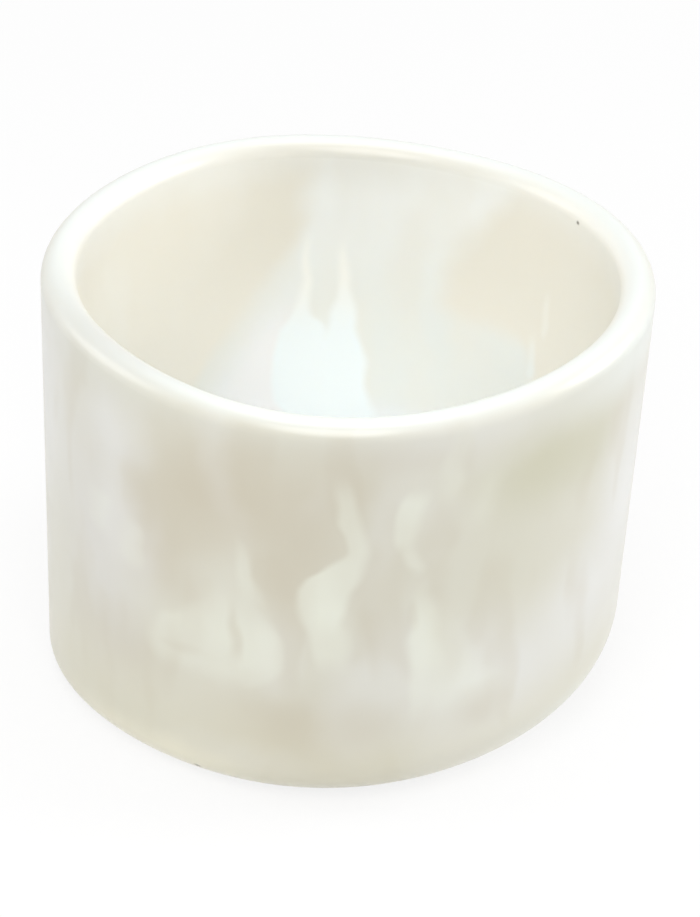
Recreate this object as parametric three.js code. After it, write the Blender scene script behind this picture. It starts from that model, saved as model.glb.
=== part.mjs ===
// A thick-walled singing bowl and the soft ring that it stands on. Millimetres, +Z up.
//
// The origin is the centre of the ring's sole. The ring sits in a shallow recess under the bowl and
// holds the bowl's foot just clear of the table, so that the bowl is free to ring. The bowl was cast
// and finished by hand: its outline wanders a little from a circle, its rim is not quite level, and
// its base edge is rounded more on one side than on the other.
import * as THREE from "three";

// Bowl
const RIM_RADIUS = 75; // outside, before the outline's lobes
const WALL_TAPER = 2; // how much narrower the base is than the rim, on the radius
const BOWL_HEIGHT = 111; // foot to the mean top of the rim
const WALL = 8.7;
const FLOOR = 6.7; // at its thinnest, over the crown of the recess
const FLOOR_ROUND = 14; // inside, where the wall meets the floor
const BASE_ROUND = 12.5; // outside, where the wall meets the foot, before its sway
const FOOT_LAND = 3.5; // flat foot outside the recess, at its narrowest

// How the hand finish moves the bowl away from a true turning: each wave has its own height, its
// number of rises in one turn, and the angle in degrees where it is highest.
const OUTLINE_WAVES = [
  { height: 0.7, rises: 2, towards: 48 },
  { height: 0.3, rises: 3, towards: -58 },
  { height: 0.5, rises: 4, towards: 11 },
  { height: 0.35, rises: 5, towards: -28 },
];
const RIM_TOP_WAVES = [{ height: 1.6, rises: 2, towards: -20 }];
const BASE_ROUND_WAVES = [{ height: 8, rises: 1, towards: 0 }];

// Rest ring
const RING_WIDTH = 9;
const RING_HEIGHT = 6;
const RING_TOP_ROUND = 2.4;
const RING_SOLE_ROUND = 1;

// Fit between them
const FOOT_LIFT = 1.5; // the bowl's foot above the table
const SEAT_GAP = 0.3; // the ring's top to the recess, where the bowl's weight rests
const RING_PLAY = 1.5; // the ring's outside to the recess wall
const RECESS_DRAFT = 0.6; // how much the recess opens towards the foot
const CROWN_RISE = 2.5; // how far the recess rises inside the ring

// Facets
const BOWL_SEGMENTS = 72;
const RING_SEGMENTS = 64;
const RIM_STEPS = 8;
const EDGE_STEPS = 6;
const WALL_STEPS = 4;
const CROWN_STEPS = 4;
const RING_STEPS = 3;

// ---- Derived sizes --------------------------------------------------------------------------------

const { degToRad } = THREE.MathUtils;
const turn = Array.from({ length: BOWL_SEGMENTS }, (_, i) => (i * 2 * Math.PI) / BOWL_SEGMENTS);

const waveAt = ({ height, rises, towards }, angle) => height * Math.cos(rises * (angle - degToRad(towards)));
const waveSum = (waves, angle) => waves.reduce((sum, wave) => sum + waveAt(wave, angle), 0);
const baseRadiusAt = (angle) => RIM_RADIUS - WALL_TAPER + waveSum(OUTLINE_WAVES, angle);
const baseRoundAt = (angle) => BASE_ROUND + waveSum(BASE_ROUND_WAVES, angle);

const RIM_ROUND = WALL / 2; // the rim is a full round
const RIM_Z = FOOT_LIFT + BOWL_HEIGHT;
const SEAT_Z = RING_HEIGHT + SEAT_GAP;
const FLOOR_Z = SEAT_Z + CROWN_RISE + FLOOR;
const FOOT_RADIUS = Math.min(...turn.map((angle) => baseRadiusAt(angle) - baseRoundAt(angle)));
const RECESS_RADIUS = FOOT_RADIUS - FOOT_LAND - RECESS_DRAFT;
const RING_OUTSIDE = RECESS_RADIUS - RING_PLAY;
const RING_INSIDE = RING_OUTSIDE - RING_WIDTH;

// ---- Outlines -------------------------------------------------------------------------------------

// Points of an arc about (x, y), from one angle in degrees to the other, both ends included.
function arc(x, y, radius, from, to, steps) {
  return Array.from({ length: steps + 1 }, (_, i) => {
    const angle = degToRad(from + ((to - from) * i) / steps);
    return new THREE.Vector2(x + radius * Math.cos(angle), y + radius * Math.sin(angle));
  });
}

// Points of a parabola that is highest on the axis and comes down to its edge.
function crown(radius, edgeZ, rise, steps) {
  return Array.from({ length: steps + 1 }, (_, i) => {
    const share = i / steps;
    return new THREE.Vector2(radius * share, edgeZ + rise * (1 - share * share));
  });
}

// The points between two others, without either of them.
function between(a, b, steps) {
  return Array.from({ length: steps - 1 }, (_, i) => a.clone().lerp(b, (i + 1) / steps));
}

// A lathe about Z whose section, of (radius, z) points, changes with the angle.
function shapedLathe(sectionAt, segments) {
  const geometry = new THREE.LatheGeometry(sectionAt(0), segments);
  const position = geometry.getAttribute("position");
  const rows = position.count / (segments + 1);
  for (let column = 0; column <= segments; column++) {
    const angle = ((column % segments) * 2 * Math.PI) / segments;
    sectionAt(angle).forEach(({ x: radius, y: z }, row) => {
      position.setXYZ(column * rows + row, radius * Math.cos(angle), radius * Math.sin(angle), z);
    });
  }
  geometry.computeVertexNormals();
  return geometry;
}

// ---- Bowl -----------------------------------------------------------------------------------------

// Half of the bowl's section at one angle, from the axis underneath, round the rim, to the axis inside.
function bowlSection(angle) {
  const baseRadius = baseRadiusAt(angle);
  const baseRound = baseRoundAt(angle);
  const insideRadius = baseRadius - WALL;
  const rimMiddle = baseRadius + WALL_TAPER - RIM_ROUND;
  const rimMiddleZ = RIM_Z + waveSum(RIM_TOP_WAVES, angle) - RIM_ROUND;

  const recess = [
    ...crown(RING_INSIDE, SEAT_Z, CROWN_RISE, CROWN_STEPS),
    new THREE.Vector2(RECESS_RADIUS, SEAT_Z),
    new THREE.Vector2(RECESS_RADIUS + RECESS_DRAFT, FOOT_LIFT),
  ];
  const baseEdge = arc(baseRadius - baseRound, FOOT_LIFT + baseRound, baseRound, -90, 0, EDGE_STEPS);
  const rim = arc(rimMiddle, rimMiddleZ, RIM_ROUND, 0, 180, RIM_STEPS);
  const floorEdge = arc(insideRadius - FLOOR_ROUND, FLOOR_Z + FLOOR_ROUND, FLOOR_ROUND, 0, -90, EDGE_STEPS);
  return [
    ...recess,
    ...baseEdge,
    ...between(baseEdge.at(-1), rim[0], WALL_STEPS),
    ...rim,
    ...between(rim.at(-1), floorEdge[0], WALL_STEPS),
    ...floorEdge,
    new THREE.Vector2(0, FLOOR_Z),
  ];
}

function makeBowl() {
  const material = new THREE.MeshStandardMaterial({ color: 0xe4e1d2, roughness: 0.25, metalness: 0 });
  const mesh = new THREE.Mesh(shapedLathe(bowlSection, BOWL_SEGMENTS), material);
  mesh.name = "bowl";
  return mesh;
}

// ---- Rest ring ------------------------------------------------------------------------------------

// The ring's whole section: a flat sole and a softly rounded top, closed on itself.
function ringSection() {
  const topZ = RING_HEIGHT - RING_TOP_ROUND;
  const points = [
    ...arc(RING_INSIDE + RING_SOLE_ROUND, RING_SOLE_ROUND, RING_SOLE_ROUND, 180, 270, RING_STEPS),
    ...arc(RING_OUTSIDE - RING_SOLE_ROUND, RING_SOLE_ROUND, RING_SOLE_ROUND, 270, 360, RING_STEPS),
    ...arc(RING_OUTSIDE - RING_TOP_ROUND, topZ, RING_TOP_ROUND, 0, 90, RING_STEPS),
    ...arc(RING_INSIDE + RING_TOP_ROUND, topZ, RING_TOP_ROUND, 90, 180, RING_STEPS),
  ];
  return [...points, points[0].clone()];
}

function makeRestRing() {
  const material = new THREE.MeshStandardMaterial({ color: 0xdad8d0, roughness: 0.7, metalness: 0 });
  const mesh = new THREE.Mesh(shapedLathe(ringSection, RING_SEGMENTS), material);
  mesh.name = "rest_ring";
  return mesh;
}

const singingBowl = new THREE.Group();
singingBowl.add(makeBowl(), makeRestRing());

export default singingBowl;
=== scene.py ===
"""A pearl-white singing bowl on its soft rest ring, in a plain pale studio. Metres, +Z up."""

import math
from collections import namedtuple

import bpy
import numpy as np
from mathutils import Matrix, Vector


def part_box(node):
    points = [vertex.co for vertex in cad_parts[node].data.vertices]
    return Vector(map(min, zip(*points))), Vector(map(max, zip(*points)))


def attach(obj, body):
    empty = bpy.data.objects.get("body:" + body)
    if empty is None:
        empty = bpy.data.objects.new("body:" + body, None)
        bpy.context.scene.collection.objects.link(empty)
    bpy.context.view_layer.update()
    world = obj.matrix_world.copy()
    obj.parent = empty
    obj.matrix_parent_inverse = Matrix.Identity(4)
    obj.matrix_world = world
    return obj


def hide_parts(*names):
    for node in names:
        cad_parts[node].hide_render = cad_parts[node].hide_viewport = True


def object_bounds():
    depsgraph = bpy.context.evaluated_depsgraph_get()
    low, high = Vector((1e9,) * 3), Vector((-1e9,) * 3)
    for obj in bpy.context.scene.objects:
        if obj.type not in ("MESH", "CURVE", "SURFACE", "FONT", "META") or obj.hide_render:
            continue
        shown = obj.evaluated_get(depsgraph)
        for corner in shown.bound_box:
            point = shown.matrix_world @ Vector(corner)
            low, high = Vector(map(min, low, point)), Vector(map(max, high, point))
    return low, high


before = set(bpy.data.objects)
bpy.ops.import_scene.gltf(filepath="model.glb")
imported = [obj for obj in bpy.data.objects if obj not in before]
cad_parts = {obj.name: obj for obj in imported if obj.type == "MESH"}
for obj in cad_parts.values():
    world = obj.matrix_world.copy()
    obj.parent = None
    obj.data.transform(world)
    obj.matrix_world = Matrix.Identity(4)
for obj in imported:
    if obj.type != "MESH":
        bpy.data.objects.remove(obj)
cad_low, cad_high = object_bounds()
bowl_low, bowl_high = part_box("bowl")
ring_low, ring_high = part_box("rest_ring")

MM = 0.001

# ---- Sizes, as in the CAD source ------------------------------------------------------------------

RIM_RADIUS = 75 * MM
WALL_TAPER = 2 * MM
WALL = 8.7 * MM
FLOOR = 6.7 * MM
FLOOR_ROUND = 14 * MM
BASE_ROUND = 12.5 * MM
RIM_ROUND = WALL / 2

# Height in mm, rises in one turn, and the angle in degrees where the wave is highest.
OUTLINE_WAVES = [(0.7, 2, 48), (0.3, 3, -58), (0.5, 4, 11), (0.35, 5, -28)]
RIM_TOP_WAVES = [(1.6, 2, -20)]
BASE_ROUND_WAVES = [(8, 1, 0)]

RING_WIDTH = 9 * MM
RING_TOP_ROUND = 2.4 * MM
RING_SOLE_ROUND = 1 * MM
SEAT_GAP = 0.3 * MM
RING_PLAY = 1.5 * MM
RECESS_DRAFT = 0.6 * MM
CROWN_RISE = 2.5 * MM

FOOT_Z = bowl_low.z
RIM_Z = bowl_high.z - RIM_TOP_WAVES[0][0] * MM
RING_OUTSIDE = ring_high.x
RING_INSIDE = RING_OUTSIDE - RING_WIDTH
RECESS_RADIUS = RING_OUTSIDE + RING_PLAY
SEAT_Z = ring_high.z + SEAT_GAP
FLOOR_Z = SEAT_Z + CROWN_RISE + FLOOR

# ---- Meshes ---------------------------------------------------------------------------------------

COLUMNS = 384
CROWN_STEPS = 12
RECESS_STEPS = 4
LIP_STEPS = 4
FOOT_STEPS = 6
BASE_STEPS = 24
WALL_STEPS = 48
RIM_STEPS = 32
FLOOR_EDGE_STEPS = 20
FLOOR_STEPS = 16
RING_SOLE_STEPS = 8
RING_TOP_STEPS = 12
SEAM_STEPS = 4

LIP = 0.5 * MM  # the small round on the recess's edges
MOULD_SEAM = 0.12 * MM  # how far the ring's seam stands out

turn = np.linspace(0, 2 * math.pi, COLUMNS, endpoint=False)


def wave_sum(waves):
    """The waves' height at each column, in metres."""
    return sum(h * MM * np.cos(rises * (turn - math.radians(towards))) for h, rises, towards in waves)


def arc(radius, z, size, start, end, steps):
    """Rows of (radius, z) along an arc of that size about (radius, z), from start to end in degrees."""
    angle = np.radians(np.linspace(start, end, steps + 1))[:, None]
    flat = np.zeros_like(turn)
    return np.stack([radius + size * np.cos(angle) + flat, z + size * np.sin(angle) + flat])


def line(start, end, steps):
    """Rows of (radius, z) from start to end, without either end."""
    share = np.linspace(0, 1, steps + 1)[1:-1, None]
    flat = np.zeros_like(turn)
    ends = [np.stack([point[0] + flat, point[1] + flat])[:, None, :] for point in (start, end)]
    return ends[0] + (ends[1] - ends[0]) * share


def revolve(name, rows, closed):
    """A smooth mesh whose rows run round the axis. An open one starts and ends in a point on the axis."""
    radius, z = np.concatenate(rows, axis=1)
    points = np.stack([radius * np.cos(turn), radius * np.sin(turn), z], axis=-1).reshape(-1, 3)
    count = len(radius)
    index = np.arange(count * COLUMNS).reshape(count, COLUMNS)
    following = np.roll(index, -1, axis=1)
    lower = index if closed else index[:-1]
    quads = np.stack(
        [
            lower,
            following[: len(lower)],
            np.roll(following, -1, axis=0)[: len(lower)],
            np.roll(index, -1, axis=0)[: len(lower)],
        ],
        axis=-1,
    ).reshape(-1, 4)
    faces = quads.tolist()
    points = points.tolist()
    if not closed:
        for row, flip in ((index[0], True), (index[-1], False)):
            points.append([0.0, 0.0, float(z[0 if flip else -1].mean())])
            tip = len(points) - 1
            pairs = zip(row.tolist(), np.roll(row, -1).tolist())
            faces += [[tip, b, a] if flip else [tip, a, b] for a, b in pairs]
    mesh = bpy.data.meshes.new(name)
    mesh.from_pydata(points, [], faces)
    mesh.shade_smooth()
    mesh.validate()
    piece = bpy.data.objects.new(name, mesh)
    bpy.context.scene.collection.objects.link(piece)
    return piece


def make_bowl():
    """The bowl, from the recess underneath, up the outside and over the rim, to the middle of its floor."""
    base_radius = RIM_RADIUS - WALL_TAPER + wave_sum(OUTLINE_WAVES)
    base_round = BASE_ROUND + wave_sum(BASE_ROUND_WAVES)
    inside_radius = base_radius - WALL
    rim_middle = base_radius + WALL_TAPER - RIM_ROUND
    rim_z = RIM_Z + wave_sum(RIM_TOP_WAVES) - RIM_ROUND

    flat = np.zeros_like(turn)
    share = np.linspace(0, 1, CROWN_STEPS + 1)[1:, None]
    crown = np.stack([RING_INSIDE * share + flat, SEAT_Z + CROWN_RISE * (1 - share**2) + flat])
    recess_corner = arc(RECESS_RADIUS - LIP, SEAT_Z - LIP, LIP, 90, 0, LIP_STEPS)
    recess_mouth = arc(RECESS_RADIUS + RECESS_DRAFT + LIP, FOOT_Z + LIP, LIP, 180, 270, LIP_STEPS)
    base_edge = arc(base_radius - base_round, FOOT_Z + base_round, base_round, -90, 0, BASE_STEPS)
    rim = arc(rim_middle, rim_z, RIM_ROUND, 0, 180, RIM_STEPS)
    floor_edge_z = FLOOR_Z + FLOOR_ROUND
    floor_edge = arc(inside_radius - FLOOR_ROUND, floor_edge_z, FLOOR_ROUND, 0, -90, FLOOR_EDGE_STEPS)
    floor_share = np.linspace(1, 0, FLOOR_STEPS + 1)[1:-1, None]
    floor = np.stack([floor_edge[0, -1] * floor_share, FLOOR_Z + flat * floor_share])
    outside = [
        crown,
        line(crown[:, -1], recess_corner[:, 0], RECESS_STEPS),
        recess_corner,
        line(recess_corner[:, -1], recess_mouth[:, 0], RECESS_STEPS),
        recess_mouth,
        line(recess_mouth[:, -1], base_edge[:, 0], FOOT_STEPS),
        base_edge,
        line(base_edge[:, -1], rim[:, 0], WALL_STEPS),
    ]
    inside = [line(rim[:, -1], floor_edge[:, 0], WALL_STEPS), floor_edge, floor]
    piece = revolve("bowl_body", [*outside, rim, *inside], closed=False)

    # How far over the rim each point is: 0 outside and under the bowl, 1 inside. The last two points
    # are the ones on the axis, under the bowl and on its floor.
    outside_rows, inside_rows = (sum(rows.shape[1] for rows in part) for part in (outside, inside))
    over_rim = np.linspace(0, 1, rim.shape[1])
    by_row = np.concatenate([np.zeros(outside_rows), over_rim, np.ones(inside_rows)])
    inward = np.concatenate([np.repeat(by_row, COLUMNS), [0, 1]])
    piece.data.attributes.new("inward", "FLOAT", "POINT").data.foreach_set("value", inward)
    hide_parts("bowl")
    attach(piece, "bowl")
    return piece


def make_rest_ring():
    """The ring, with the fine seam that its mould left round the outside."""
    top_z = ring_high.z - RING_TOP_ROUND
    sole_z = ring_low.z + RING_SOLE_ROUND
    outside = RING_OUTSIDE - MOULD_SEAM
    rows = [
        arc(RING_INSIDE + RING_SOLE_ROUND, sole_z, RING_SOLE_ROUND, 180, 270, RING_SOLE_STEPS),
        arc(outside - RING_SOLE_ROUND, sole_z, RING_SOLE_ROUND, 270, 360, RING_SOLE_STEPS),
        arc(outside, (top_z + sole_z) / 2, MOULD_SEAM, -90, 90, SEAM_STEPS),
        arc(outside - RING_TOP_ROUND, top_z, RING_TOP_ROUND, 0, 90, RING_TOP_STEPS),
        arc(RING_INSIDE + RING_TOP_ROUND, top_z, RING_TOP_ROUND, 90, 180, RING_TOP_STEPS),
    ]
    piece = revolve("rest_ring_silicone", rows, closed=True)
    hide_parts("rest_ring")
    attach(piece, "ring")
    return piece


# ---- Material graphs ------------------------------------------------------------------------------

# The sockets of a Mix node that mixes colours: its factor and two colours, and its result.
MIX_INPUTS = (0, 6, 7)
MIX_RESULT = 2

LEAST_SPAN = 1e-6  # for a curve whose values are all the same


def linear(red, green, blue):
    """The scene-linear colour, with alpha, of an sRGB colour of 0 to 255."""

    def channel(value):
        share = value / 255
        return share / 12.92 if share <= 0.04045 else ((share + 0.055) / 1.055) ** 2.4

    return (channel(red), channel(green), channel(blue), 1)


class Graph:
    """One material's nodes. Any input takes a number, a colour or another node's output."""

    def __init__(self, name):
        self.material = bpy.data.materials.new(name)
        self.material.use_nodes = True
        self.tree = self.material.node_tree
        self.tree.nodes.clear()

    def put(self, socket, value):
        if isinstance(value, bpy.types.NodeSocket):
            self.tree.links.new(value, socket)
        else:
            socket.default_value = value

    def node(self, kind, inputs=None, **settings):
        made = self.tree.nodes.new("ShaderNode" + kind)
        for name, value in settings.items():
            setattr(made, name, value)
        for key, value in (inputs or {}).items():
            self.put(made.inputs[key], value)
        return made

    def math(self, operation, *values):
        return self.node("Math", dict(enumerate(values)), operation=operation).outputs[0]

    def vector(self, operation, *values):
        made = self.node("VectorMath", operation=operation)
        for socket, value in zip(made.inputs, values):
            self.put(socket, value)
        return made.outputs["Value" if operation == "LENGTH" else "Vector"]

    def ramp(self, value, start, end, low=0, high=1, smooth=True):
        """value taken from the range start to end into the range low to high, and held there."""
        kind = "SMOOTHSTEP" if smooth else "LINEAR"
        inputs = {"Value": value, "From Min": start, "From Max": end, "To Min": low, "To Max": high}
        return self.node("MapRange", inputs, interpolation_type=kind).outputs["Result"]

    def mix(self, factor, below, above):
        """The colour below at factor 0 and the one above it at factor 1."""
        inputs = dict(zip(MIX_INPUTS, (factor, below, above)))
        return self.node("Mix", inputs, data_type="RGBA").outputs[MIX_RESULT]

    def curve(self, share, values):
        """A smooth curve through values, evenly spaced over share, which runs from 0 to 1."""
        low, high = min(values), max(values)
        span = max(high - low, LEAST_SPAN)
        made = self.node("FloatCurve", {"Value": share})
        points = made.mapping.curves[0].points
        while len(points) < len(values):
            points.new(0.5, 0.5)
        for i, value in enumerate(values):
            points[i].location = (i / (len(values) - 1), (value - low) / span)
        made.mapping.update()
        return self.math("MULTIPLY_ADD", made.outputs[0], span, low)

    def noise(self, vector, scale, detail=2, roughness=0.5):
        inputs = {"Vector": vector, "Scale": scale, "Detail": detail, "Roughness": roughness}
        return self.node("TexNoise", inputs).outputs

    def place(self):
        """Where the point is on the piece, in mm."""
        return self.scaled(self.node("TexCoord").outputs["Object"], 1 / MM, 1 / MM, 1 / MM)

    def scaled(self, vector, x, y, z):
        return self.vector("MULTIPLY", vector, (x, y, z))

    def bump(self, height, strength, distance):
        inputs = {"Height": height, "Strength": strength, "Distance": distance}
        return self.node("Bump", inputs).outputs[0]

    def finish(self, shader):
        self.node("OutputMaterial", {"Surface": shader})
        return self.material


# ---- The bowl's pearl -----------------------------------------------------------------------------

# Places on the wall are in mm: arc to the right and height. On the outer wall the arc starts from the
# middle of the front, and on the inner wall from the middle of the back, as both are seen from the front.
OUTER_ARC_RADIUS = 74
INNER_ARC_RADIUS = 65

# A flame-shaped swirl in the casting, between two heights. left and right are its edges, evenly spaced
# from low to high. soft_left and soft_right are the widths over which those edges fade, and fade_low and
# fade_high the same for its ends.
Swirl = namedtuple(
    "Swirl", "low high left right soft_left soft_right strength fade_low fade_high", defaults=(5, 4)
)

# A broad soft zone of tint about a place, with its half-widths.
Zone = namedtuple("Zone", "arc height wide tall strength")

OUTER_FLAMES = [
    # the broad flame on the left, in four strokes
    Swirl(
        32, 66, [-40, -47.8, -46, -38, -30, -26], [-28, -15.6, -12.6, -15.4, -18.4, -20.4],
        6, 3, 0.29, 7, 18,
    ),
    Swirl(38, 60, [-22.4, -22.9, -22.8, -22], [-16, -11.8, -14.2, -17], 3, 2.6, 0.36, 6, 12),
    Swirl(40, 62, [-33, -43, -38, -31], [-25, -25, -24.6, -24.6], 7, 3, 0.24, 8, 14),
    Swirl(54, 80, [-22, -22.4, -23.6, -26.2], [-14.6, -17, -20, -25.2], 3, 2.4, 0.25, 12, 10),
    # the s-shaped one beside it
    Swirl(74, 99, [2.2, 1.4, -0.8, -1.8, -2.4], [6.6, 5.6, 3.4, 2.2, 1], 2.2, 3, 0.5, 5, 9),
    Swirl(49, 80, [-5, -8, -8.6, -1.6, 3.8], [-0.4, 1.6, 4, 6.2, 5.6], 3, 3.2, 0.6, 12, 6),
    Swirl(40, 66, [-2, -4.6, -7.4, -8], [2, 3.6, 2.8, 3], 3.2, 4, 0.36, 7, 12),
    # the small wing
    Swirl(76, 95, [14, 12.4, 14.2, 18], [17, 17.8, 19.6, 21.8], 2.4, 4, 0.55, 4, 6),
    Swirl(68, 80, [19.4, 16.4, 13.4], [22, 19.8, 17], 3, 3, 0.38),
    # the flame on the right
    Swirl(24, 66, [23, 18.6, 17.4, 17.6, 19.4, 21.6], [46, 44, 38, 32, 28, 23.4], 3, 13, 0.44, 12, 8),
    Swirl(38, 70, [18.6, 18.2, 19.4, 20.8], [27, 26.4, 24.6, 22.6], 3, 3, 0.34, 8, 9),
    # the pale base edge beside it
    Zone(74, 8, 36, 14, 0.5),
    # small ones towards the left
    Swirl(60, 76, [-68, -69.5, -67.5], [-64, -62, -64.5], 6, 5, 0.2),
    Swirl(56, 73, [-55, -57, -56.5, -55], [-52, -50, -50, -53], 6, 2.4, 0.22),
    # streaks under the rim on the right
    Swirl(86, 112, [23, 24, 26], [27, 29, 31], 3.5, 3.5, 0.24, 8, 6),
    Swirl(78, 100, [29, 32, 35], [36, 38, 40], 7, 6, 0.18, 8, 8),
    # round the sides and the back
    Swirl(24, 86, [118, 112, 114, 121, 125, 127], [131, 136, 134, 131, 130, 129], 7, 2, 0.4, 12, 10),
    Swirl(34, 74, [126, 125, 126, 128], [132, 135, 133, 130], 3, 2, 0.3, 8, 10),
    Swirl(48, 98, [150, 146, 149, 154, 155], [156, 158, 157, 158.5, 157], 2, 4, 0.5, 6, 10),
    Swirl(20, 62, [176, 172, 174, 180, 184], [196, 199, 194, 188, 185.5], 8, 2, 0.42, 10, 6),
    Swirl(70, 100, [205, 202, 205, 208], [210, 211, 209, 209], 2.6, 2.6, 0.35, 6, 8),
    Swirl(26, 80, [-132, -138, -134, -128, -126], [-121, -116, -119, -124, -125], 2.6, 7, 0.45, 12, 8),
    Swirl(36, 96, [-168, -171, -168, -164, -163], [-161, -157, -160, -161, -162], 4, 1.8, 0.5, 8, 12),
    Swirl(22, 58, [-206, -212, -207, -200], [-190, -186, -191, -198], 7, 2.6, 0.4, 8, 5),
]

# Creases in the flames and shadows beside them.
OUTER_SHADES = [
    Swirl(41, 60, [-25.4, -25.2, -25, -24.8], [-22.6, -22.6, -22.8, -23.4], 2.6, 1.8, 0.34, 5, 10),
    Zone(-38, 41.2, 9, 2.4, 0.2),
    Zone(9, 27, 14, 10, 0.3),
    Zone(-11, 27, 13, 9, 0.35),
    Zone(38, 27, 12, 9, 0.4),
    Swirl(42, 64, [3.6, 5, 5, 8], [8, 10, 11.5, 10], 3, 6, 0.24, 5, 6),
    Swirl(52, 65, [16.6, 18, 19.5], [19.6, 20.6, 20.9], 2.6, 2, 0.26),
    Swirl(60, 76, [-19, -19, -20.5], [-9, -10, -14], 2.4, 5, 0.35),
    Swirl(30, 78, [122, 121, 123, 127], [124, 124, 126, 128.5], 1.8, 1.8, 0.35),
    Swirl(28, 72, [-128, -129, -126.5], [-126, -126.5, -125], 1.8, 1.8, 0.35),
]

# The outer wall's broad tints, with a painted shade just under the front of the rim.
OUTER_TAN = [
    Zone(-28, 88, 38, 26, 1.0),
    Zone(-42, 80, 24, 20, 0.6),
    Zone(-45, 66, 20, 20, 0.8),
    Zone(-8, 74, 18, 30, 0.7),
    Zone(2, 94, 20, 14, 0.5),
    # painted shade just under the front of the rim, narrowing its bright band
    Zone(12, 104, 34, 9, 0.5),
    Zone(-6, 22, 38, 22, 0.8),
    Zone(-56, 34, 26, 18, 0.5),
    Zone(160, 80, 50, 30, 0.7),
    Zone(-150, 66, 40, 34, 0.8),
    Zone(215, 30, 40, 24, 0.6),
]

OUTER_OLIVE = [
    Zone(52, 93, 30, 20, 0.8),
    Zone(72, 92, 20, 16, 0.5),
    Zone(42, 71, 24, 24, 0.2),
]

# Painted sheen: a cool pale cast on the left side of the wall, the reflection of the white surroundings at a
# glancing angle.
OUTER_PAINTED_SHEEN = [Zone(-66, 62, 27, 50, 0.38)]

# Painted light: the base edge is made lighter, on the left and on the right more than in the middle, lifting
# the shade that falls on it near the floor.
BASE_EDGE_PAINTED_LIGHT = [Zone(-44, 0, 56, 16, 0.95), Zone(48, 0, 50, 15, 0.75)]

# Pale tints, among them painted light along the left and right edges.
OUTER_PALE_AND_PAINTED_LIGHT = [
    # painted sheen along the left edge
    Zone(-94, 88, 27, 50, 0.8),
    Zone(-60, 94, 18, 18, 0.6),
    Zone(46, 30, 36, 30, 0.9),
    Zone(74, 44, 30, 26, 0.9),
    Zone(36, 46, 16, 18, 0.35),
    Zone(-13, 46, 9, 16, 0.3),
    # painted light along the right edge
    Zone(94, 66, 30, 50, 1.0),
    Zone(30, 108, 44, 16, 0.42),
    Zone(58, 8, 54, 18, 1.0),
    Zone(-22, 13, 30, 9, 0.45),
    Zone(185, 44, 44, 40, 0.7),
    Zone(-190, 92, 40, 30, 0.7),
]

# Pale bands up the inner wall.
INNER_BANDS = [
    Swirl(26, 118, [-52, -40, -28, -19, -15, -12, -6], [20, 24, 26, 25, 30, 40, 46], 9, 12, 0.85, 6, 4),
    Swirl(28, 70, [10, 12, 17, 24], [42, 54, 54, 46], 8, 7, 0.8, 6, 9),
    Swirl(26, 94, [-60, -51, -38.5, -27.6, -17.6, -11.8], [-19, -19, -18, -14, -12, -10], 8, 4, 0.6, 6, 9),
    Swirl(30, 104, [-150, -140, -128, -120], [-118, -112, -110, -116], 9, 6, 0.6, 8, 8),
    Swirl(30, 100, [120, 128, 130, 136], [150, 156, 150, 142], 6, 9, 0.6, 8, 8),
]

INNER_FLAMES = [
    # two tongues side by side at the back, and what joins them
    Swirl(
        20, 90, [-12, -18, -20.4, -19, -14.2, -13.8, -13.4], [-2, -2, -3, -5.8, -11.2, -12, -12.8],
        3, 3, 1, 6, 10,
    ),
    Swirl(20, 86, [-6, -7, -7, -5.6, -3.8, -3.6, -3.4], [8, 7.6, 5.2, 2.8, 1, -1, -2.4], 3, 3, 1, 6, 9),
    Swirl(38, 66, [-14, -12.6, -11], [-2, -3, -4.4], 3, 3, 0.8, 4, 22),
    # two thin streaks on the right
    Swirl(67, 86, [55.8, 55.6, 56.4], [57.6, 57.4, 57.8], 1.8, 1.8, 0.36, 5, 7),
    Swirl(54, 70, [52.4, 52, 52.6], [54.4, 54, 54.4], 1.8, 1.8, 0.36, 4, 6),
    # behind the front of the rim
    Swirl(34, 88, [-138, -140, -135, -131], [-126, -122, -125, -129], 2, 5, 0.8, 8, 10),
    Swirl(40, 92, [134, 131, 133, 137], [141, 144, 142, 139], 5, 2, 0.8, 8, 10),
]

# A soft skirt to the left of the tongues.
INNER_SKIRT = [
    Swirl(22, 78, [-44, -41, -33, -25, -18], [-14, -14, -15, -13, -12], 18, 6, 0.9, 6, 26),
]

# Small marks in the surface.
INNER_SPECKS = [Zone(65.9, 107.9, 0.9, 0.9, 1)]
OUTER_SPECKS = [Zone(-34, 5.2, 1.6, 0.8, 0.8), Zone(-24, 4.6, 1.1, 0.7, 0.6)]

# Over the rim, a place's height is its share in percent of the way from the outer wall to the inner one.
# Painted light: the rim whiter on the right, where the light falls on it.
RIM_RIGHT_PAINTED_LIGHT = [Zone(92, 10, 50, 40, 0.85)]
# Painted shade: the rim duller on the left, on the side away from the light.
RIM_LEFT_PAINTED_SHADE = [Zone(-74, 46, 50, 64, 0.9)]
# Painted shade: the inner slope of the rim darker and warmer at the back.
RIM_BACK_PAINTED_SHADE = [Zone(0, 80, 84, 30, 1.0)]

BODY = linear(210, 208, 194)
TAN = linear(197, 190, 171)
OLIVE = linear(196, 194, 170)
# The tone of the painted sheen on the left side of the wall.
LILAC = linear(214, 213, 218)
PALE = linear(222, 222, 218)
BASE_TINT = linear(210, 206, 184)
# The tone of the painted light on the base edge.
BASE_EDGE_LIGHT_TONE = linear(238, 234, 213)
FLAME = linear(229, 232, 219)
# Painted light: the whiter tone of the rim's top and of its right side.
RIM = linear(227, 231, 227)
# Painted shade on the rim's left side.
RIM_DULL_PAINTED_SHADE = linear(209, 210, 204)
# Painted shade on the rim's inner slope at the back.
RIM_WARM_PAINTED_SHADE = linear(215, 213, 202)
INNER_BODY = linear(235, 231, 218)
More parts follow.
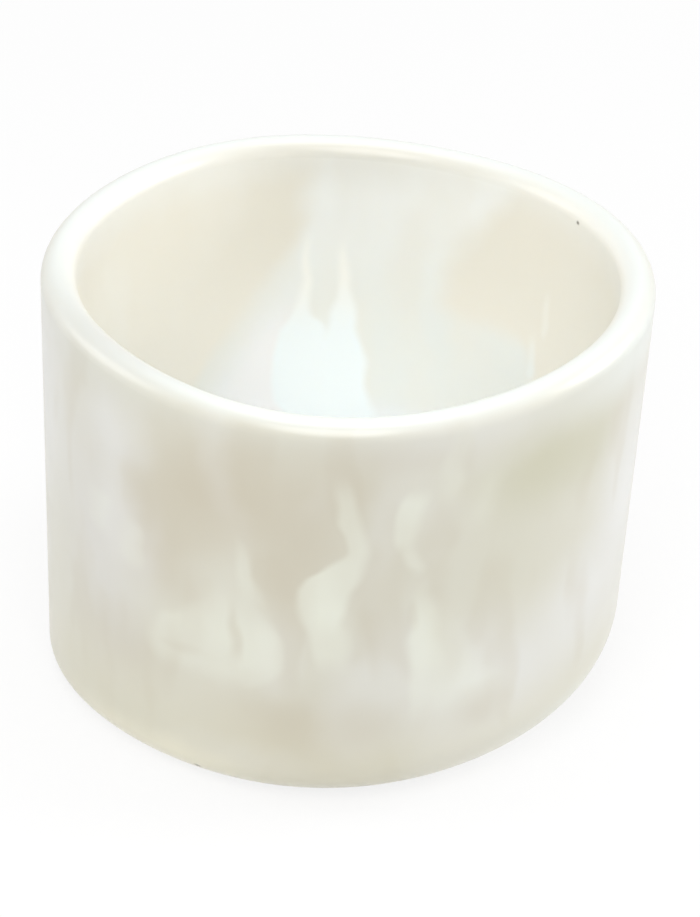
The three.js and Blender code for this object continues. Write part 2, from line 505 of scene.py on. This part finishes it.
# Painted light: the inner wall lighter lower down, lifting the shade deep in the bowl.
INNER_LOW_PAINTED_LIGHT = linear(243, 239, 227)
INNER_BAND = linear(245, 247, 244)
INNER_BAND_LOW = linear(236, 240, 236)
# Painted light: the inner wall paler just under the rim, carrying the rim's whiter tone down.
INNER_RIM_PAINTED_LIGHT = linear(243, 243, 237)
INNER_FLOOR = linear(243, 247, 251)
INNER_SKIRT_TINT = linear(247, 247, 247)
INNER_FLAME = linear(246, 254, 255)
INNER_TIP = linear(250, 250, 243)
SPECK = linear(92, 84, 70)


def swirl_mask(graph, arc_mm, z, swirl):
    """1 inside a swirl, fading to 0 at its edges."""
    share = graph.ramp(z, swirl.low, swirl.high, smooth=False)
    left = graph.math("SUBTRACT", arc_mm, graph.curve(share, swirl.left))
    right = graph.math("SUBTRACT", graph.curve(share, swirl.right), arc_mm)
    mask = graph.ramp(left, -swirl.soft_left / 2, swirl.soft_left / 2, high=swirl.strength)
    mask = graph.math("MULTIPLY", mask, graph.ramp(right, -swirl.soft_right / 2, swirl.soft_right / 2))
    mask = graph.math("MULTIPLY", mask, graph.ramp(z, swirl.low, swirl.low + swirl.fade_low))
    return graph.math("MULTIPLY", mask, graph.ramp(z, swirl.high, swirl.high - swirl.fade_high))


def zone_mask(graph, arc_mm, z, zone):
    """The zone's strength in its middle, falling to 0 at its half-widths."""
    across = graph.math("MULTIPLY_ADD", arc_mm, 1 / zone.wide, -zone.arc / zone.wide)
    up = graph.math("MULTIPLY_ADD", z, 1 / zone.tall, -zone.height / zone.tall)
    offset = graph.node("CombineXYZ", {"X": across, "Y": up}).outputs[0]
    return graph.ramp(graph.vector("LENGTH", offset), 1, 0, high=zone.strength)


def cover(graph, arc_mm, z, marks):
    """How far a list of swirls or zones, laid over one another, hides what is under them."""
    clear = None
    for mark in marks:
        mask = swirl_mask if isinstance(mark, Swirl) else zone_mask
        left_clear = graph.math("SUBTRACT", 1, mask(graph, arc_mm, z, mark))
        clear = left_clear if clear is None else graph.math("MULTIPLY", clear, left_clear)
    return graph.math("SUBTRACT", 1, clear)


# Each stirring of the place: its noise scale and detail, and how far it can move a place, in mm.
STIRRINGS = [(0.05, 1, 5.0), (0.16, 0, 1.8)]

# Heights in mm, from where each of these starts to where it is full.
BASE_TINT_HEIGHTS = (38, 12)
INNER_LOW_HEIGHTS = (100, 50)
INNER_RIM_HEIGHTS = (98, 110)
INNER_FLOOR_HEIGHTS = (40, 24)
INNER_FLAME_HEIGHTS = (74, 54)
# Painted light on the outer wall just under the rim.
RIM_PAINTED_LIGHT_HEIGHTS = (RIM_Z / MM - 12, RIM_Z / MM - 3)
NEAR_RIM_HEIGHTS = (RIM_Z / MM - 18, RIM_Z / MM - 5)

# Distances in mm from the axis, between which the wall's tints give way to the plain foot.
FOOT_RADII = (66, 50)

# Where a point is on the bowl: its place, and its height and arcs as stirred. Then the noises there:
# broad clouds, upright streaks, and how strongly the streaks let a swirl show.
Spot = namedtuple("Spot", "place z front_arc back_arc cloud streak fibre")


def wall_spot(graph):
    """The spot of the point that is shaded, stirred so that no edge in the casting is quite smooth."""
    place = graph.place()
    stirred = place
    for scale, detail, reach in STIRRINGS:
        offset = graph.vector("SUBTRACT", graph.noise(place, scale, detail)["Color"], (0.5,) * 3)
        stirred = graph.vector("MULTIPLY_ADD", offset, (reach,) * 3, stirred)
    x, y, z = graph.node("SeparateXYZ", {"Vector": stirred}).outputs
    from_front = graph.math("ARCTAN2", x, graph.math("MULTIPLY", y, -1))
    from_back = graph.math("ARCTAN2", x, y)
    streak = graph.noise(graph.scaled(stirred, 1, 1, 0.3), 0.09, detail=1, roughness=0.4)["Fac"]
    return Spot(
        place=place,
        z=z,
        front_arc=graph.math("MULTIPLY", from_front, OUTER_ARC_RADIUS),
        back_arc=graph.math("MULTIPLY", from_back, INNER_ARC_RADIUS),
        cloud=graph.noise(graph.scaled(stirred, 1, 1, 0.5), 0.04, detail=1, roughness=0.4)["Fac"],
        streak=streak,
        fibre=graph.ramp(streak, 0.32, 0.68, low=0.7, high=1.1, smooth=False),
    )


def tint(graph, under, arc_mm, z, marks, colour, share=1):
    """The colour under a list of marks with theirs over it, or only that share of theirs."""
    factor = graph.math("MULTIPLY", cover(graph, arc_mm, z, marks), share)
    return graph.mix(factor, under, colour)


def outer_colour(graph, spot):
    wall = (spot.front_arc, spot.z)
    colour = BODY
    # Broad tints, among them painted light along the edges and a painted sheen on the left side.
    for marks, tone in ((OUTER_TAN, TAN), (OUTER_OLIVE, OLIVE), (OUTER_PALE_AND_PAINTED_LIGHT, PALE), (OUTER_PAINTED_SHEEN, LILAC)):
        colour = tint(graph, colour, *wall, marks, tone)
    colour = graph.mix(graph.ramp(spot.cloud, 0.5, 0.75, high=0.45), colour, PALE)
    colour = graph.mix(graph.ramp(spot.streak, 0.5, 0.3, high=0.3), colour, TAN)
    colour = graph.mix(graph.ramp(spot.z, *BASE_TINT_HEIGHTS, high=0.5), colour, BASE_TINT)
    # Painted light that lifts the shade on the base edge near the floor.
    colour = tint(graph, colour, *wall, BASE_EDGE_PAINTED_LIGHT, BASE_EDGE_LIGHT_TONE)
    colour = tint(graph, colour, *wall, OUTER_FLAMES, FLAME, spot.fibre)
    colour = tint(graph, colour, *wall, OUTER_SHADES, TAN)
    colour = tint(graph, colour, *wall, OUTER_SPECKS, SPECK)
    from_axis = graph.vector("LENGTH", graph.scaled(spot.place, 1, 1, 0))
    return graph.mix(graph.ramp(from_axis, *FOOT_RADII), colour, BODY)


def inner_colour(graph, spot):
    wall = (spot.back_arc, spot.z)
    # Painted light: the inner wall turns lighter lower down, against the shade deep in the bowl; the bands
    # change with it.
    low = graph.ramp(spot.z, *INNER_LOW_HEIGHTS)
    colour = graph.mix(low, INNER_BODY, INNER_LOW_PAINTED_LIGHT)
    band = graph.mix(low, INNER_BAND, INNER_BAND_LOW)
    colour = tint(graph, colour, *wall, INNER_BANDS, band, spot.fibre)
    colour = graph.mix(graph.ramp(spot.cloud, 0.5, 0.75, high=0.3), colour, INNER_BAND)
    # Painted light: paler just under the rim.
    colour = graph.mix(graph.ramp(spot.z, *INNER_RIM_HEIGHTS, high=0.6), colour, INNER_RIM_PAINTED_LIGHT)
    colour = graph.mix(graph.ramp(spot.z, *INNER_FLOOR_HEIGHTS), colour, INNER_FLOOR)
    colour = tint(graph, colour, *wall, INNER_SKIRT, INNER_SKIRT_TINT)
    flame = graph.mix(graph.ramp(spot.z, *INNER_FLAME_HEIGHTS), INNER_TIP, INNER_FLAME)
    colour = tint(graph, colour, *wall, INNER_FLAMES, flame)
    return tint(graph, colour, *wall, INNER_SPECKS, SPECK)


def bowl_colour(graph, spot):
    """The outer wall's colour and the inner one's, with the rim's painted light and shade between them."""
    inward = graph.node("Attribute", attribute_name="inward").outputs["Fac"]
    percent = graph.math("MULTIPLY", inward, 100)
    height = graph.node("SeparateXYZ", {"Vector": spot.place}).outputs["Z"]
    near_rim = graph.ramp(height, *NEAR_RIM_HEIGHTS)
    colour = outer_colour(graph, spot)
    # Painted light: whiter just under the rim, and over the outer half of the rim's top.
    colour = graph.mix(graph.ramp(height, *RIM_PAINTED_LIGHT_HEIGHTS, high=0.12), colour, RIM)
    colour = graph.mix(graph.ramp(inward, 0.14, 0.48), colour, RIM)
    # Painted light on the rim's right side.
    colour = tint(graph, colour, spot.front_arc, percent, RIM_RIGHT_PAINTED_LIGHT, RIM, near_rim)
    # Painted shade on the rim's left side.
    colour = tint(graph, colour, spot.front_arc, percent, RIM_LEFT_PAINTED_SHADE, RIM_DULL_PAINTED_SHADE, near_rim)
    colour = graph.mix(graph.ramp(inward, 0.5, 0.95), colour, inner_colour(graph, spot))
    # Painted shade on the rim's inner slope at the back.
    return tint(graph, colour, spot.back_arc, percent, RIM_BACK_PAINTED_SHADE, RIM_WARM_PAINTED_SHADE, near_rim)


def make_pearl():
    graph = Graph("pearl")
    spot = wall_spot(graph)
    polish = graph.noise(spot.place, 0.08, roughness=0.4)["Fac"]
    hand = graph.noise(graph.scaled(spot.place, 1, 1, 0.45), 0.05)["Fac"]
    shader = graph.node(
        "BsdfPrincipled",
        {
            "Base Color": bowl_colour(graph, spot),
            "Roughness": graph.ramp(polish, 0.3, 0.7, low=0.29, high=0.38),
            "Normal": graph.bump(hand, 0.15, 1 * MM),
            "IOR": 1.5,
            "Coat Weight": 0.2,
            "Coat Roughness": 0.2,
            "Subsurface Weight": 0.15,
            "Subsurface Radius": (1.0, 0.9, 0.75),
            "Subsurface Scale": 2 * MM,
        },
    ).outputs[0]
    return graph.finish(shader)


# ---- The ring's silicone --------------------------------------------------------------------------

SILICONE = linear(226, 224, 216)
SILICONE_DARK = linear(214, 212, 203)


def make_silicone():
    graph = Graph("silicone")
    place = graph.place()
    cloud = graph.noise(place, 0.08, detail=3)["Fac"]
    grain = graph.noise(place, 4)["Fac"]
    shader = graph.node(
        "BsdfPrincipled",
        {
            "Base Color": graph.mix(cloud, SILICONE, SILICONE_DARK),
            "Roughness": graph.ramp(grain, 0, 1, low=0.5, high=0.7),
            "Normal": graph.bump(grain, 0.2, 0.1 * MM),
            "IOR": 1.41,
            "Sheen Weight": 0.1,
        },
    ).outputs[0]
    return graph.finish(shader)


# ---- Studio ---------------------------------------------------------------------------------------

WHITE = (1, 1, 1, 1)
WORLD_STRENGTH = 0.3

FLOOR_COLOUR = (0.86, 0.86, 0.86, 1)
FLOOR_HALF_SIZE = 4.0
FLOOR_GAP = 0.05 * MM

# How much of the floor's look is plain white near the bowl, and the distances over which it turns all white.
PLAIN_SHARE = 0.82
PLAIN_DISTANCES = (0.2, 0.8)

# Each lamp's name, place, size and power. They all point at the middle of the bowl.
BOWL_MIDDLE = Vector((0, 0, 0.06))
LAMPS = [
    ("front", (-0.08, -0.85, 0.95), 0.9, 9),
    ("right", (1.1, 0.2, 0.55), 0.7, 7),
    ("left", (-1.1, 0.0, 0.55), 0.7, 3.5),
    ("top", (0.0, 0.15, 1.2), 0.8, 4.5),
]


def seen_directly(tree):
    """1 for a ray from the camera, a reflection or a view through glass, else 0."""
    path = tree.nodes.new("ShaderNodeLightPath")
    seen = path.outputs["Is Camera Ray"]
    for name in ("Is Glossy Ray", "Is Transmission Ray"):
        either = tree.nodes.new("ShaderNodeMath")
        either.operation = "MAXIMUM"
        tree.links.new(seen, either.inputs[0])
        tree.links.new(path.outputs[name], either.inputs[1])
        seen = either.outputs[0]
    return seen


def make_world():
    """Plain white where it is seen, and a dimmer light on the object."""
    world = bpy.data.worlds.new("studio")
    bpy.context.scene.world = world
    world.use_nodes = True
    tree = world.node_tree
    background = tree.nodes["Background"]
    level = tree.nodes.new("ShaderNodeMapRange")
    level.inputs["To Min"].default_value = WORLD_STRENGTH
    level.inputs["To Max"].default_value = 1
    tree.links.new(seen_directly(tree), level.inputs["Value"])
    tree.links.new(level.outputs["Result"], background.inputs["Strength"])
    background.inputs["Color"].default_value = WHITE


def make_floor():
    """A white floor. It keeps the bowl's shadow, and what is seen of it goes to plain white further off."""
    z = cad_low.z - FLOOR_GAP
    corners = [(FLOOR_HALF_SIZE * x, FLOOR_HALF_SIZE * y, z) for x, y in ((-1, -1), (1, -1), (1, 1), (-1, 1))]
    mesh = bpy.data.meshes.new("floor")
    mesh.from_pydata(corners, [], [(0, 1, 2, 3)])
    floor = bpy.data.objects.new("floor", mesh)
    bpy.context.scene.collection.objects.link(floor)
    graph = Graph("floor")
    matte = graph.node("BsdfDiffuse", {"Color": FLOOR_COLOUR}).outputs[0]
    plain = graph.node("Emission", {"Color": WHITE, "Strength": 1.0}).outputs[0]
    distance = graph.vector("LENGTH", graph.node("TexCoord").outputs["Object"])
    share = graph.ramp(distance, *PLAIN_DISTANCES, low=PLAIN_SHARE)
    share = graph.math("MULTIPLY", seen_directly(graph.tree), share)
    mixed = graph.node("MixShader", {0: share, 1: matte, 2: plain}).outputs[0]
    mesh.materials.append(graph.finish(mixed))


def make_lamp(name, place, size, power):
    lamp = bpy.data.lights.new(name, "AREA")
    lamp.shape = "DISK"
    lamp.size = size
    lamp.energy = power
    light = bpy.data.objects.new(name, lamp)
    bpy.context.scene.collection.objects.link(light)
    light.location = place
    light.rotation_euler = (BOWL_MIDDLE - Vector(place)).to_track_quat("-Z", "Y").to_euler()


def make_camera():
    """Above the front of the bowl, far off with a long lens, turned a little about its own axis."""
    elevation = math.radians(32.0)
    roll = math.radians(2.88)
    distance = 0.9
    aim = Vector((1.8 * MM, 0, 56.5 * MM))
    back = Vector((0, -math.cos(elevation), math.sin(elevation)))
    data = bpy.data.cameras.new("camera")
    data.lens = 139.4
    data.sensor_width = 36
    data.clip_start = 0.01
    camera = bpy.data.objects.new("camera", data)
    bpy.context.scene.collection.objects.link(camera)
    level = (-back).to_track_quat("-Z", "Y").to_matrix().to_4x4()
    camera.matrix_world = Matrix.Translation(aim + back * distance) @ level @ Matrix.Rotation(roll, 4, "Z")
    bpy.context.scene.camera = camera


make_camera()
bowl = make_bowl()
bowl.data.materials.append(make_pearl())
ring = make_rest_ring()
ring.data.materials.append(make_silicone())

make_world()
make_floor()
for lamp in LAMPS:
    make_lamp(*lamp)
bpy.context.scene.view_settings.view_transform = "Standard"
